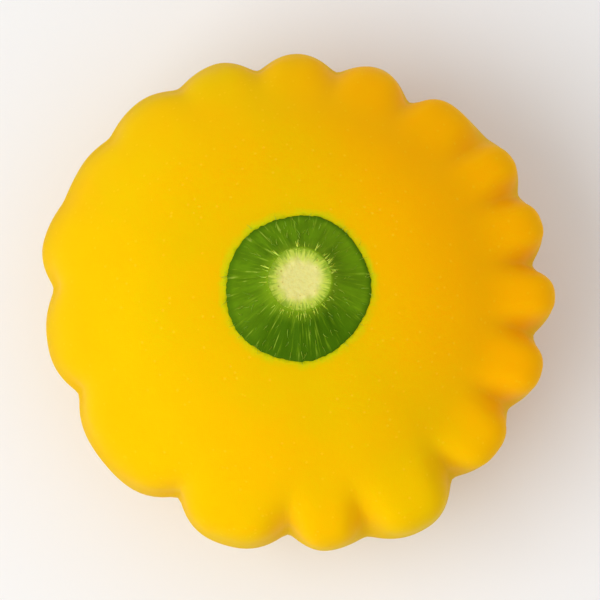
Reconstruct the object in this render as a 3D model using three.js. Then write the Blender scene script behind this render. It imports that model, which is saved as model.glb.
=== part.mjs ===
// A yellow pattypan squash, picked and trimmed, lying on its blossom end with its stem up.
// Millimetres, +Z up. The origin is on the resting surface, under the middle of the squash.
// Two pieces: the scalloped fruit, and the short green stub of its stalk, seated in the crown.
import * as THREE from "three";

// Driving dimensions
const DIAMETER = 52; // over the tips of opposite lobes
const FRUIT_HEIGHT = 30.4; // from the resting spot to the crown
const STEM_RADIUS = 7.3; // the flared green base of the stalk, on average
const CUT_RADIUS = 3.2; // the pale face where the stalk was cut
const CUT_RISE = 2.2; // the cut face above the crown
const RIM_RADIUS = DIAMETER / 2;

// The lobes, uneven as they grew: where each one's first valley lies, in degrees round the stem, how deep
// that valley is below the tips beside it, and how far the lobe's own tip stands out past the rim's radius.
const LOBES = [
  [9, 1.6, 0.2],
  [26, 0.9, 0.5],
  [41, 0.15, -0.15],
  [61, 1.85, -0.35],
  [80.5, 1.4, -0.2],
  [100, 1.5, 0.15],
  [119.5, 0.95, 0.55],
  [139, 0.6, 0.55],
  [157, 0.35, 1.1],
  [176.5, 1.3, 0.25],
  [202.5, 1.55, 0],
  [238.5, 2.4, 0.15],
  [267.5, 1.9, -0.25],
  [286.5, 0.95, 0.7],
  [311, 1.8, -0.6],
  [333, 1.2, -0.2],
  [352, 1.4, 0.2],
];
const ARCH_POWER = 2; // a lobe of the usual width is a parabola across
const USUAL_LOBE = 20; // degrees; wider lobes are flatter across their tips
const FLATTENING = 16; // each of this many degrees more adds one to the power
const FLATTER_PADS = 1.6; // added to the power away from the rim, where a lobe is a flat pad
const LOBE_SWELL = 2.4; // how far the fullest lobes rise above the brow of the rim
const FULLEST_SIDE = 335; // degrees: the side where the lobes are fullest
const STEPS_PER_LOBE = 7;

// The skin from the rim of the stem's seat, over the lobes, to the rim of the blossom scar:
// shares of the rim radius and of the fruit's height.
const SKIN_PROFILE = [
  [0.285, 0.985],
  [0.4, 0.97],
  [0.53, 0.936],
  [0.655, 0.88],
  [0.765, 0.806],
  [0.865, 0.722],
  [0.95, 0.625],
  [1.0, 0.5],
  [0.972, 0.378],
  [0.892, 0.262],
  [0.765, 0.158],
  [0.61, 0.075],
  [0.45, 0.024],
  [0.32, 0.002],
  [0.22, -0.008],
  [0.115, -0.006],
];
const SKIN_RINGS = 25;
// Places along that profile, as shares of it
const RIM_SHARE = 7 / 15; // the widest point
const GIRTH_WIDTH = 0.25; // how far up and down the rim's own unevenness reaches
const PAD_FADE = [0.02, 0.12]; // how far off the rim the lobes begin to flatten, and where they are flattest
const BROW_SHARE = 5.5 / 15; // the brow of the lobes, above the rim
const BROW_WIDTH = 0.065;
const VALLEY_TOPS = [0.33, 0.23]; // where the valleys begin on the crown, on the flattest and the fullest side
const VALLEY_FULL = 0.435; // where they reach their depth
const VALLEY_FADE = 1.6; // the power that keeps them shallow above the rim
const VALLEY_FOOT = 0.74; // and where they end, under the flanks
const SEAT_FADE = 0.3; // from here on the fruit no longer follows the outline of the stem

// Slow waves round the squash: the size of each, how often it goes round, and the degrees of a crest
const RIM_WAVES = [
  [0.5, 2, 110],
  [0.35, 3, 10],
]; // millimetres up and down
const STEM_WAVES = [
  [0.01, 2, 60],
  [0.013, 5, 68],
]; // shares of the stem's radius

// The seat that the stem stands in, and the gap between the two pieces
const SEAT_DEPTH = 0.7;
const SEAT_RINGS = [0.5, 1]; // shares of its radius
const FIT_GAP = 0.3;

// The dimple of the blossom scar, in the middle of the resting spot
const SCAR_DEPTH = 0.9;
const SCAR_FLOOR_SHARE = 0.6; // its floor's radius as a share of its rim's

// The stem's flare from the cut's rim out to the edge of its base: shares of the way out and of the rise
const FLARE = [
  [0, 1],
  [0.04, 0.93],
  [0.14, 0.66],
  [0.32, 0.42],
  [0.56, 0.26],
  [0.8, 0.15],
  [0.95, 0.08],
  [1, 0.02],
];
const CUT_DISH = 0.25; // the cut face is hollowed by this
const CUT_RINGS = [
  [0.45, 1],
  [0.8, 0.6],
]; // shares of the cut's radius and of the hollow's depth
const CUT_OFFSET = [0.2, 0.7]; // the stalk left the fruit a little off its middle

// The flare has low ridges and finer ribs, which stand highest at one place on the way out
const RIDGES = { count: 5, crest: 68, height: 0.22, place: 0.45, width: 0.3 };
const RIBS = { count: 20, crest: 0, height: 0.07, place: 0.4, width: 0.4 };
const STEPS_PER_RIB = 5;

const radians = THREE.MathUtils.degToRad;
const smooth = THREE.MathUtils.smoothstep;
const wave = (angle, count, degrees) => Math.cos(count * (angle - radians(degrees)));
const waveSum = (angle, waves) =>
  waves.reduce((sum, [size, count, degrees]) => sum + size * wave(angle, count, degrees), 0);
const bell = (x, middle, width) => Math.exp(-(((x - middle) / width) ** 2));

// Lobes

// Steps round the fruit, one of them exactly on each valley and closest together beside it: how far the
// outline stands out there before the valleys are cut, how deep the nearest valley is, how far the step is
// off the lobe's middle, from 0 to 1 on the valley, and the power that shapes the lobe across.
const lobeSteps = LOBES.flatMap(([degrees, depth, stands], i) => {
  const [, , standsBefore] = LOBES.at(i - 1);
  const [nextDegrees, nextDepth, standsAfter] = LOBES[(i + 1) % LOBES.length];
  const width = (nextDegrees - degrees + 360) % 360;
  const power = ARCH_POWER + Math.max(0, width - USUAL_LOBE) / FLATTENING;
  return Array.from({ length: STEPS_PER_LOBE }, (_, k) => {
    const along = (1 - Math.cos((Math.PI * k) / STEPS_PER_LOBE)) / 2;
    const [nearDepth, nearStands] = along < 0.5 ? [depth, standsBefore] : [nextDepth, standsAfter];
    const offMiddle = Math.abs(2 * along - 1);
    return {
      angle: radians(degrees + along * width),
      stands: THREE.MathUtils.lerp(stands, (stands + nearStands) / 2, offMiddle ** power),
      valleyDepth: nearDepth,
      offMiddle,
      power,
    };
  });
});

// Fruit

const stemOutline = (angle) => 1 + waveSum(angle, STEM_WAVES);
const trueRound = () => 1;

const profileLine = new THREE.SplineCurve(SKIN_PROFILE.map(([r, z]) => new THREE.Vector2(r, z)));

// A point of the skin: share runs from 0 at the stem's seat to 1 at the blossom scar.
function skinPoint(share, { angle, stands, valleyDepth, offMiddle, power }) {
  const onLine = profileLine.getPoint(share);
  const along = profileLine.getTangent(share);
  const outward = new THREE.Vector2(-along.y * FRUIT_HEIGHT, along.x * RIM_RADIUS).normalize();
  const fullness = (1 + wave(angle, 1, FULLEST_SIDE)) / 2;
  const valleyTop = THREE.MathUtils.lerp(...VALLEY_TOPS, fullness);
  // The valleys notch the rim, and fade out a short way over the crown and down the flanks.
  const reach =
    share < RIM_SHARE
      ? smooth(share, valleyTop, VALLEY_FULL) ** VALLEY_FADE
      : 1 - smooth(share, RIM_SHARE, VALLEY_FOOT);
  const valley = offMiddle ** (power + FLATTER_PADS * smooth(Math.abs(share - RIM_SHARE), ...PAD_FADE));
  const girth = bell(share, RIM_SHARE, GIRTH_WIDTH);
  const swell = (1 - valley) * LOBE_SWELL * fullness * bell(share, BROW_SHARE, BROW_WIDTH);
  const out = stands * girth + swell - valleyDepth * valley * reach;
  const seatShape = 1 + (stemOutline(angle) - 1) * (1 - smooth(share, 0, SEAT_FADE));
  const r = onLine.x * RIM_RADIUS * seatShape + outward.x * out;
  const z = onLine.y * FRUIT_HEIGHT + outward.y * out + girth * waveSum(angle, RIM_WAVES);
  return new THREE.Vector3(r * Math.cos(angle), r * Math.sin(angle), Math.max(z, 0));
}

function ringAt(radius, z, steps, outline) {
  return steps.map(({ angle }) => {
    const r = radius * outline(angle);
    return new THREE.Vector3(r * Math.cos(angle), r * Math.sin(angle), z);
  });
}

// Closes a stack of rings, from the top down and all of one count, with a point at both ends.
function closedStack(topPoint, rings, bottomPoint) {
  const count = rings[0].length;
  const points = [topPoint, ...rings.flat(), bottomPoint];
  const at = (ring, k) => 1 + ring * count + (k % count);
  const faces = [];
  for (let k = 0; k < count; k += 1) {
    faces.push(0, at(0, k), at(0, k + 1));
    for (let ring = 0; ring + 1 < rings.length; ring += 1) {
      faces.push(at(ring, k), at(ring + 1, k), at(ring + 1, k + 1));
      faces.push(at(ring, k), at(ring + 1, k + 1), at(ring, k + 1));
    }
    faces.push(points.length - 1, at(rings.length - 1, k + 1), at(rings.length - 1, k));
  }
  const geometry = new THREE.BufferGeometry().setFromPoints(points).setIndex(faces);
  geometry.computeVertexNormals();
  return geometry;
}

const crown = SKIN_PROFILE[0][1] * FRUIT_HEIGHT;
const seatFloor = crown - SEAT_DEPTH;
const seatRadius = STEM_RADIUS - FIT_GAP / 2;

function fruitGeometry() {
  const seat = SEAT_RINGS.map((share) => ringAt(share * seatRadius, seatFloor, lobeSteps, stemOutline));
  const skin = Array.from({ length: SKIN_RINGS }, (_, i) =>
    lobeSteps.map((step) => skinPoint(i / (SKIN_RINGS - 1), step)),
  );
  const scarRadius = SKIN_PROFILE.at(-1)[0] * RIM_RADIUS;
  const scarFloor = ringAt(scarRadius * SCAR_FLOOR_SHARE, SCAR_DEPTH, lobeSteps, trueRound);
  const top = new THREE.Vector3(0, 0, seatFloor);
  const bottom = new THREE.Vector3(0, 0, SCAR_DEPTH);
  return closedStack(top, [...seat, ...skin, scarFloor], bottom);
}

const fruit = new THREE.Mesh(
  fruitGeometry(),
  new THREE.MeshStandardMaterial({ color: 0xfcc800, roughness: 0.45, metalness: 0 }),
);
fruit.name = "fruit";

// Stem

const ribSteps = Array.from({ length: RIBS.count * STEPS_PER_RIB }, (_, k) => ({
  angle: (2 * Math.PI * k) / (RIBS.count * STEPS_PER_RIB),
}));

function shifted(ring, share) {
  const [x, y] = CUT_OFFSET;
  return ring.map((point) => point.add(new THREE.Vector3(x * share, y * share, 0)));
}

const relief = (angle, out, { count, crest, height, place, width }) =>
  height * wave(angle, count, crest) * bell(out, place, width);

// A ring of the flare: out runs from 0 at the cut's rim to 1 at the edge of the base.
function flareRing([out, rise]) {
  const edge = STEM_RADIUS - FIT_GAP;
  return shifted(
    ribSteps.map(({ angle }) => {
      const r = THREE.MathUtils.lerp(CUT_RADIUS, edge * stemOutline(angle), out);
      const z = crown + rise * CUT_RISE + relief(angle, out, RIDGES) + relief(angle, out, RIBS);
      return new THREE.Vector3(r * Math.cos(angle), r * Math.sin(angle), z);
    }),
    1 - out,
  );
}

function stemGeometry() {
  const cutHeight = crown + CUT_RISE;
  const face = CUT_RINGS.map(([share, dish]) =>
    shifted(ringAt(share * CUT_RADIUS, cutHeight - dish * CUT_DISH, ribSteps, trueRound), 1),
  );
  const undersideHeight = seatFloor + FIT_GAP;
  const underside = SEAT_RINGS.toReversed().map((share) =>
    ringAt(share * (seatRadius - FIT_GAP), undersideHeight, ribSteps, stemOutline),
  );
  const [x, y] = CUT_OFFSET;
  const top = new THREE.Vector3(x, y, cutHeight - CUT_DISH);
  const bottom = new THREE.Vector3(0, 0, undersideHeight);
  return closedStack(top, [...face, ...FLARE.map(flareRing), ...underside], bottom);
}

const stem = new THREE.Mesh(
  stemGeometry(),
  new THREE.MeshStandardMaterial({ color: 0x4f7a0c, roughness: 0.6, metalness: 0 }),
);
stem.name = "stem";

// The squash, moved so that the middle of its outline is over the origin

const squash = new THREE.Group();
squash.add(fruit, stem);
const middle = new THREE.Box3().setFromObject(squash).getCenter(new THREE.Vector3());
fruit.position.set(-middle.x, -middle.y, 0);
stem.position.copy(fruit.position);

export default squash;
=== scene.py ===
# %% [markdown]
# # A yellow pattypan squash
#
# A pattypan is a young summer squash: a flat, round fruit whose rim is drawn into lobes. Two things were
# really there when it was picked: the fruit, and the green stub where its stalk was cut. We dress both of
# them here, in metres, around the solids that are already built, which say how big everything is.

import math

import bpy
import numpy as np
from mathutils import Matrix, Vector


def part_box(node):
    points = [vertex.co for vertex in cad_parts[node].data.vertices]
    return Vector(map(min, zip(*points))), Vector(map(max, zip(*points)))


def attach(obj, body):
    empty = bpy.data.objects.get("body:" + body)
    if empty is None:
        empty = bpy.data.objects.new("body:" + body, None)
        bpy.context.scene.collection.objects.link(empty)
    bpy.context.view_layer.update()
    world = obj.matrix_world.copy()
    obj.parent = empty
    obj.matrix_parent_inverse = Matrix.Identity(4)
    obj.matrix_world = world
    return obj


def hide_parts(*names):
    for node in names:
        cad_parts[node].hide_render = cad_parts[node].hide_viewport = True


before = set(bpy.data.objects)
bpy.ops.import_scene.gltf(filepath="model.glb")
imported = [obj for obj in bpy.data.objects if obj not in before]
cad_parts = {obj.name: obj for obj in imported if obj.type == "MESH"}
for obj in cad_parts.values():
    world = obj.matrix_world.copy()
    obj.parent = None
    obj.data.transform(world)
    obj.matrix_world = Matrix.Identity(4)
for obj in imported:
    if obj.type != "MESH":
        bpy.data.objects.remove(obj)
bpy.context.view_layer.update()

MM = 0.001
fruit_low, fruit_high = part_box("fruit")
stem_low, stem_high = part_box("stem")
print("fruit box, mm:", [round(x / MM, 2) for x in (*fruit_low, *fruit_high)])
print("stem box, mm:", [round(x / MM, 2) for x in (*stem_low, *stem_high)])

# %% [markdown]
# ## The camera
#
# The squash is seen almost from straight above. Its stalk shows a little above the middle of the outline,
# which puts the camera some 84 degrees above the horizon. A long lens from a good distance keeps the
# crown, which is nearer, from swelling. We frame the squash so that it fills most of the square.

# %% Camera
VIEW_ELEVATION = math.radians(84.5)
VIEW_DISTANCE = 0.6
VIEW_WIDTH = 61.9 * MM  # what the square frame takes in, at the height of the rim
SENSOR_WIDTH = 36.0
VIEW_MIDDLE = Vector((0.24, 0.2, 15.2)) * MM  # what the camera looks at, at the height of the rim

camera_data = bpy.data.cameras.new("camera")
camera_data.sensor_width = SENSOR_WIDTH
camera_data.lens = SENSOR_WIDTH * VIEW_DISTANCE / VIEW_WIDTH
camera = bpy.data.objects.new("camera", camera_data)
bpy.context.scene.collection.objects.link(camera)
towards_camera = Vector((0, -math.cos(VIEW_ELEVATION), math.sin(VIEW_ELEVATION)))
camera.location = VIEW_MIDDLE + towards_camera * VIEW_DISTANCE
camera.rotation_euler = (-towards_camera).to_track_quat("-Z", "Y").to_euler()
bpy.context.scene.camera = camera
print("lens, mm:", round(camera_data.lens))

# %% [markdown]
# ## The light and the floor
#
# The light is that of a white studio: so soft that there is hardly a highlight on the skin, and a little
# stronger from the left, so that the right side falls into a warm shade. A white world does most of it, and
# one large area light does the rest. The Standard view transform keeps the yellow as strong as the
# material has it, where a filmic one would wash it out.

# %% Light and floor
KEY_PLACE = Vector((-0.38, -0.17, 0.52))
KEY_SIZE = 0.55
KEY_POWER = 2.58  # watts
SKY_COLOUR = (1, 1, 1, 1)
SKY_STRENGTH = 0.71
FLOOR_SIZE = 1.6
FLOOR_COLOUR = (0.85, 0.85, 0.855, 1)
FLOOR_ROUGHNESS = 0.9

key_data = bpy.data.lights.new("key", "AREA")
key_data.size = KEY_SIZE
key_data.energy = KEY_POWER
key = bpy.data.objects.new("key", key_data)
key.location = KEY_PLACE
key.rotation_euler = (-KEY_PLACE).to_track_quat("-Z", "Y").to_euler()
bpy.context.scene.collection.objects.link(key)

world = bpy.data.worlds.new("studio")
world.use_nodes = True
sky = world.node_tree.nodes["Background"].inputs
sky["Color"].default_value = SKY_COLOUR
sky["Strength"].default_value = SKY_STRENGTH
bpy.context.scene.world = world
bpy.context.scene.view_settings.view_transform = "Standard"

half = FLOOR_SIZE / 2
floor_corners = [(-half, -half, 0), (half, -half, 0), (half, half, 0), (-half, half, 0)]
floor_mesh = bpy.data.meshes.new("floor")
floor_mesh.from_pydata(floor_corners, [], [(0, 1, 2, 3)])
floor = bpy.data.objects.new("floor", floor_mesh)
bpy.context.scene.collection.objects.link(floor)
floor_paint = bpy.data.materials.new("floor_paint")
floor_paint.use_nodes = True
floor_shader = floor_paint.node_tree.nodes["Principled BSDF"].inputs
floor_shader["Base Color"].default_value = FLOOR_COLOUR
floor_shader["Roughness"].default_value = FLOOR_ROUGHNESS
floor_mesh.materials.append(floor_paint)
print("floor and key light made")

# %% [markdown]
# ## Wiring nodes in a script
#
# Both the shapes and the finishes below are node trees. A tree made in a script gets long when each node is
# placed and linked by hand, so this small helper adds a node, fills its inputs and hands back its output.
# An input may be a number, a colour, or the output of another node: then it is linked.

# %% A helper for node trees
class Wiring:
    """Adds nodes to one tree and links them."""

    def __init__(self, tree):
        self.tree = tree

    def add(self, kind, inputs=(), output=0, **settings):
        """Adds a node, sets its settings, fills its inputs by name or number, and returns one output."""
        node = self.tree.nodes.new(kind)
        for setting, value in settings.items():
            setattr(node, setting, value)
        for label, value in dict(inputs).items():
            if isinstance(value, bpy.types.NodeSocket):
                self.tree.links.new(value, node.inputs[label])
            else:
                node.inputs[label].default_value = value
        return node.outputs[output]

    def math(self, operation, *values):
        return self.add("ShaderNodeMath", enumerate(values), operation=operation)

    def vector(self, operation, *values):
        return self.add("ShaderNodeVectorMath", enumerate(values), operation=operation)

    def scale(self, vector, factor):
        return self.add("ShaderNodeVectorMath", {0: vector, "Scale": factor}, operation="SCALE")

    def dot(self, first, second):
        both = {0: first, 1: second}
        return self.add("ShaderNodeVectorMath", both, output="Value", operation="DOT_PRODUCT")

    def z_of(self, vector):
        return self.add("ShaderNodeSeparateXYZ", {0: vector}, output="Z")

    def along_z(self, value):
        return self.add("ShaderNodeCombineXYZ", {"Z": value})

    def ramp(self, value, start, end, low=0.0, high=1.0, smooth=True):
        """Goes from low to high while value goes from start to end."""
        kind = "SMOOTHSTEP" if smooth else "LINEAR"
        inputs = enumerate((value, start, end, low, high))
        return self.add("ShaderNodeMapRange", inputs, interpolation_type=kind)

    def bell(self, value, middle, width):
        """A smooth bump: 1 at the middle, and nearly 0 two widths away from it."""
        offset = self.math("DIVIDE", self.math("SUBTRACT", value, middle), width)
        return self.math("EXPONENT", self.math("MULTIPLY", self.math("MULTIPLY", offset, offset), -1.0))

    def wave(self, turn, count, degrees):
        """A cosine that goes round the squash count times, with a crest at that many degrees."""
        shifted = self.math("SUBTRACT", turn, math.radians(degrees))
        return self.math("COSINE", self.math("MULTIPLY", shifted, float(count)))


print("helper ready")

# %% [markdown]
# ## Shapes made by Geometry Nodes
#
# A Geometry Nodes tree is a rule: it takes a plain mesh and a few named sizes, and grows the real shape from
# them. These helpers start such a tree, read and keep values in it, end it and run it. The tree's inputs are
# set on the modifier by their identifiers, and the result is taken off as a plain mesh, so nothing stays live
# on the finished piece.

# %% Helpers for Geometry Nodes
def new_rule(name, sizes):
    """A tree with Geometry, the sizes and Material as inputs. Returns the wiring, its inputs and its end."""
    tree = bpy.data.node_groups.new(name, "GeometryNodeTree")
    sockets = tree.interface
    sockets.new_socket("Geometry", in_out="INPUT", socket_type="NodeSocketGeometry")
    for label, value in sizes.items():
        kind = "NodeSocketInt" if isinstance(value, int) else "NodeSocketFloat"
        sockets.new_socket(label, in_out="INPUT", socket_type=kind).default_value = value
    sockets.new_socket("Material", in_out="INPUT", socket_type="NodeSocketMaterial")
    sockets.new_socket("Geometry", in_out="OUTPUT", socket_type="NodeSocketGeometry")
    given = tree.nodes.new("NodeGroupInput").outputs
    end = tree.nodes.new("NodeGroupOutput").inputs[0]
    return Wiring(tree), given, end


def live_socket(sockets, label):
    """Some nodes have a socket of the same name for each kind of value, and only one of them is live."""
    return next(socket for socket in sockets if socket.enabled and socket.name == label)


def read(rule, name, kind="FLOAT"):
    """The value of a named attribute, inside a Geometry Nodes tree."""
    node = rule.tree.nodes.new("GeometryNodeInputNamedAttribute")
    node.data_type = kind
    node.inputs["Name"].default_value = name
    return live_socket(node.outputs, "Attribute")


def store(rule, geometry, name, value):
    """Keeps a value on the points under a name, for the material to read."""
    node = rule.tree.nodes.new("GeometryNodeStoreNamedAttribute")
    node.inputs["Name"].default_value = name
    rule.tree.links.new(geometry, node.inputs["Geometry"])
    rule.tree.links.new(value, live_socket(node.inputs, "Value"))
    return node.outputs[0]


def end_rule(rule, geometry, material, end):
    """Every tree ends alike: real geometry, smooth faces and the piece's material."""
    real = rule.add("GeometryNodeRealizeInstances", {"Geometry": geometry})
    smooth = rule.add("GeometryNodeSetShadeSmooth", {"Geometry": real})
    painted = rule.add("GeometryNodeSetMaterial", {"Geometry": smooth, "Material": material})
    rule.tree.links.new(painted, end)


def tree_made_names(mesh):
    """The attributes that Blender itself doesn't need."""
    own = {"position", "sharp_face", "sharp_edge", "material_index"}
    names = [layer.name for layer in mesh.attributes]
    return [name for name in names if name not in own and not name.startswith(".")]


def grow(base, tree, sizes, material, keep=()):
    """Runs the tree on the base object with those sizes. Returns a plain mesh with the kept attributes."""
    names = {item.name: item.identifier for item in tree.interface.items_tree if item.in_out == "INPUT"}
    modifier = base.modifiers.new(tree.name, "NODES")
    modifier.node_group = tree
    for label, value in sizes.items():
        modifier[names[label]] = value
    modifier[names["Material"]] = material
    evaluated = base.evaluated_get(bpy.context.evaluated_depsgraph_get())
    mesh = bpy.data.meshes.new_from_object(evaluated)
    base.modifiers.remove(modifier)
    for name in tree_made_names(mesh):
        if name not in keep:
            mesh.attributes.remove(mesh.attributes[name])
    return mesh


def finished_piece(name, mesh, node):
    """Puts a finished mesh in the scene: it rides on the squash and stands for that node."""
    mesh.name = name
    piece = bpy.data.objects.new(name, mesh)
    bpy.context.scene.collection.objects.link(piece)
    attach(piece, "root")
    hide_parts(node)
    print(name, "has", sum(len(face.vertices) - 2 for face in mesh.polygons), "triangles")
    return piece


print("helpers for Geometry Nodes ready")

# %% [markdown]
# ## The plain body of the fruit
#
# Before it gets its lobes, the fruit is a body of revolution: one side line, turned round the stalk. The line
# starts at the stalk, domes over the crown, turns over at the rim and comes in underneath, where the fruit
# lies on a small flat ring round the scar of its blossom. We lay a grid on that body, with a column of points
# exactly on each valley between two lobes, and give every point what the rule for the lobes will need.

# %% The fruit's measures
RIM_RADIUS = 26 * MM
FRUIT_HEIGHT = 30.4 * MM
STEM_RADIUS = 7.3 * MM
SCAR_DEPTH = 0.9 * MM

# The lobes: where each one's first valley lies, in degrees round the stalk, and then in millimetres how deep
# that valley is below the tips beside it, and how far the lobe's own tip stands out past the rim's radius.
LOBES = [
    (9, 1.6, 0.2), (26, 0.9, 0.5), (41, 0.15, -0.15), (61, 1.85, -0.35), (80.5, 1.4, -0.2), (100, 1.5, 0.15),
    (119.5, 0.95, 0.55), (139, 0.6, 0.55), (157, 0.35, 1.1), (176.5, 1.3, 0.25), (202.5, 1.55, 0),
    (238.5, 2.4, 0.15), (267.5, 1.9, -0.25), (286.5, 0.95, 0.7), (311, 1.8, -0.6), (333, 1.2, -0.2),
    (352, 1.4, 0.2),
]
ARCH_POWER = 2  # how flat a usual lobe is across its tip
USUAL_LOBE = 20  # degrees; a wider lobe is flatter
FLATTENING = 16  # degrees of extra width that raise the power by one
# The side line, from the stalk to the scar: shares of the rim's radius and of the height
SIDE_LINE = np.array([
    (0.285, 0.985), (0.4, 0.97), (0.53, 0.936), (0.655, 0.88), (0.765, 0.806), (0.865, 0.722), (0.95, 0.625),
    (1.0, 0.5), (0.972, 0.378), (0.892, 0.262), (0.765, 0.158), (0.61, 0.075), (0.45, 0.024), (0.32, 0.002),
    (0.22, -0.008), (0.115, -0.006),
])
SKIN_RINGS = 150
STEPS_PER_LOBE = 22
SCAR_RINGS = 16
HIDDEN_RINGS = 8  # under the stalk


def smooth_line(points, shares):
    """Points on the smooth line through the given points, and the line's direction there."""
    last = len(points) - 1
    place = np.asarray(shares, float) * last
    i = np.minimum(place.astype(int), last - 1)
    t = (place - i)[:, None]
    before, here = points[np.maximum(i - 1, 0)], points[i]
    there, after = points[i + 1], points[np.minimum(i + 2, last)]
    leave, arrive = (there - before) / 2, (after - here) / 2
    cubic = 2 * here - 2 * there + leave + arrive
    square = -3 * here + 3 * there - 2 * leave - arrive
    return cubic * t**3 + square * t**2 + leave * t + here, 3 * cubic * t**2 + 2 * square * t + leave


print("the side line has", len(SIDE_LINE), "points")

# %% Steps round the fruit
def lobe_steps():
    """For each step round the fruit: its angle, and what the rule for the lobes needs to know there."""
    steps = []
    for i, (start, depth, stands) in enumerate(LOBES):
        stands_before = LOBES[i - 1][2]
        end, next_depth, stands_after = LOBES[(i + 1) % len(LOBES)]
        degrees = (end - start) % 360
        power = ARCH_POWER + max(0, degrees - USUAL_LOBE) / FLATTENING
        for k in range(STEPS_PER_LOBE):
            along = k / STEPS_PER_LOBE
            near_depth, near_stands = (depth, stands_before) if along < 0.5 else (next_depth, stands_after)
            off_crest = abs(2 * along - 1) ** power
            stands_here = stands + (near_stands - stands) / 2 * off_crest
            turn, width = math.radians(start + along * degrees), RIM_RADIUS * math.radians(degrees)
            steps.append((turn, along, width, power, near_depth * MM, stands_here * MM))
    names = ("turn", "along", "lobe_width", "power", "valley_depth", "stands_out")
    return dict(zip(names, np.array(steps).T))


step_facts = lobe_steps()
widths = step_facts["lobe_width"] / MM
print(len(LOBES), "lobes, from", round(widths.min(), 1), "to", round(widths.max(), 1), "mm wide")

# %% [markdown]
# Rings of points make the grid. Three stretches follow each other: a hidden lid under the stalk, the skin,
# and the dimple of the blossom scar, which has a small corky button in its middle.

# %% Rings down the fruit
LID_SHARES = (0.05, 0.93)  # first and last hidden ring, as shares of the skin's first ring
SCAR_SHARES = (0.96, 0.03)  # first and last ring of the dimple, as shares of the skin's last ring
SCAR_WALL = 0.45  # the share of the dimple's radius that its slope takes
BUTTON_HEIGHT = 0.3 * MM
BUTTON_WIDTH = 0.3  # share of the dimple's radius


def fruit_rings():
    """For each ring from the top: radius, height, direction outwards (across, up) and share down the skin."""
    shares = np.linspace(0, 1, SKIN_RINGS)
    skin, heading = smooth_line(SIDE_LINE, shares)
    skin, heading = skin * (RIM_RADIUS, FRUIT_HEIGHT), heading * (RIM_RADIUS, FRUIT_HEIGHT)
    outwards = np.column_stack([-heading[:, 1], heading[:, 0]])
    outwards /= np.linalg.norm(outwards, axis=1)[:, None]

    lid = np.linspace(*LID_SHARES, HIDDEN_RINGS)
    lid_points = np.column_stack([lid * skin[0, 0], np.full(HIDDEN_RINGS, skin[0, 1])])

    inwards = np.linspace(*SCAR_SHARES, SCAR_RINGS)
    wall = np.clip((1 - inwards) / SCAR_WALL, 0, 1)
    button = BUTTON_HEIGHT * np.exp(-((inwards / BUTTON_WIDTH) ** 2))
    scar_height = SCAR_DEPTH * wall**2 * (3 - 2 * wall) - button
    scar_points = np.column_stack([inwards * skin[-1, 0], scar_height])

    points = np.vstack([lid_points, skin, scar_points])
    out = np.vstack([np.zeros((HIDDEN_RINGS, 2)), outwards, np.zeros((SCAR_RINGS, 2))])
    share = np.concatenate([np.zeros(HIDDEN_RINGS), shares, np.ones(SCAR_RINGS)])
    return points, out, share


# %% A closed grid from rings
def closed_grid(name, rings, top, bottom, attributes):
    """A closed mesh from rings x steps points, with a point at each end, and attributes on its points."""
    ring_count, step_count = rings.shape[:2]
    points = np.vstack([[top], rings.reshape(-1, 3), [bottom]])
    at = 1 + np.arange(ring_count * step_count).reshape(ring_count, step_count)
    upper, lower = at[:-1], at[1:]
    quads = np.stack([upper, lower, np.roll(lower, -1, 1), np.roll(upper, -1, 1)], 2).reshape(-1, 4)
    last = len(points) - 1
    first_fan = [(0, int(a), int(b)) for a, b in zip(at[0], np.roll(at[0], -1))]
    last_fan = [(last, int(b), int(a)) for a, b in zip(at[-1], np.roll(at[-1], -1))]
    mesh = bpy.data.meshes.new(name)
    mesh.from_pydata(points.tolist(), [], quads.tolist() + first_fan + last_fan)
    for label, values in attributes.items():
        rows = np.asarray(values, float).reshape(ring_count * step_count, -1)
        rows = np.vstack([rows[:step_count].mean(0), rows, rows[-step_count:].mean(0)])
        kind, field = ("FLOAT_VECTOR", "vector") if rows.shape[1] == 3 else ("FLOAT", "value")
        mesh.attributes.new(label, kind, "POINT").data.foreach_set(field, rows.ravel())
    base = bpy.data.objects.new(name, mesh)
    bpy.context.scene.collection.objects.link(base)
    return base


# %% The plain fruit
def ring_points(radius, height, turn):
    """Points round an upright axis, for every ring and every step round it."""
    radius, height, turn = np.broadcast_arrays(radius, height, turn)
    return np.stack([radius * np.cos(turn), radius * np.sin(turn), height], 2)


def plain_fruit_grid():
    """The turned body, with what the rule for the lobes needs kept on every point."""
    line, out, share = fruit_rings()
    turn = step_facts["turn"]
    facts = {name: np.tile(values, (len(line), 1)) for name, values in step_facts.items()}
    facts["share"] = np.tile(share[:, None], (1, len(turn)))
    facts["outwards"] = ring_points(out[:, :1], out[:, 1:], turn)
    top, bottom = (0, 0, line[0, 1]), (0, 0, line[-1, 1])
    return closed_grid("plain_fruit", ring_points(line[:, :1], line[:, 1:], turn), top, bottom, facts)


plain_fruit = plain_fruit_grid()
print("plain fruit:", len(plain_fruit.data.vertices), "points")

# %% [markdown]
# ## The lobes
#
# The lobes follow a rule, so a Geometry Nodes tree shapes them. At the rim each lobe is an arch between two
# valleys, whose floor is slightly rounded. Away from the rim the lobes are flatter pads with softer, narrower
# valleys between them, which fade out over the crown and down the flank. On the side where the fruit grew
# fullest the lobes also swell at the brow, just above the rim. Last come the things that make it a grown
# fruit and not a turned one: a rim that isn't quite round or level, and a slow ripple of the skin. The tree
# also keeps how deep in a valley and how near the rim each point is, for the paint to read.

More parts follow.
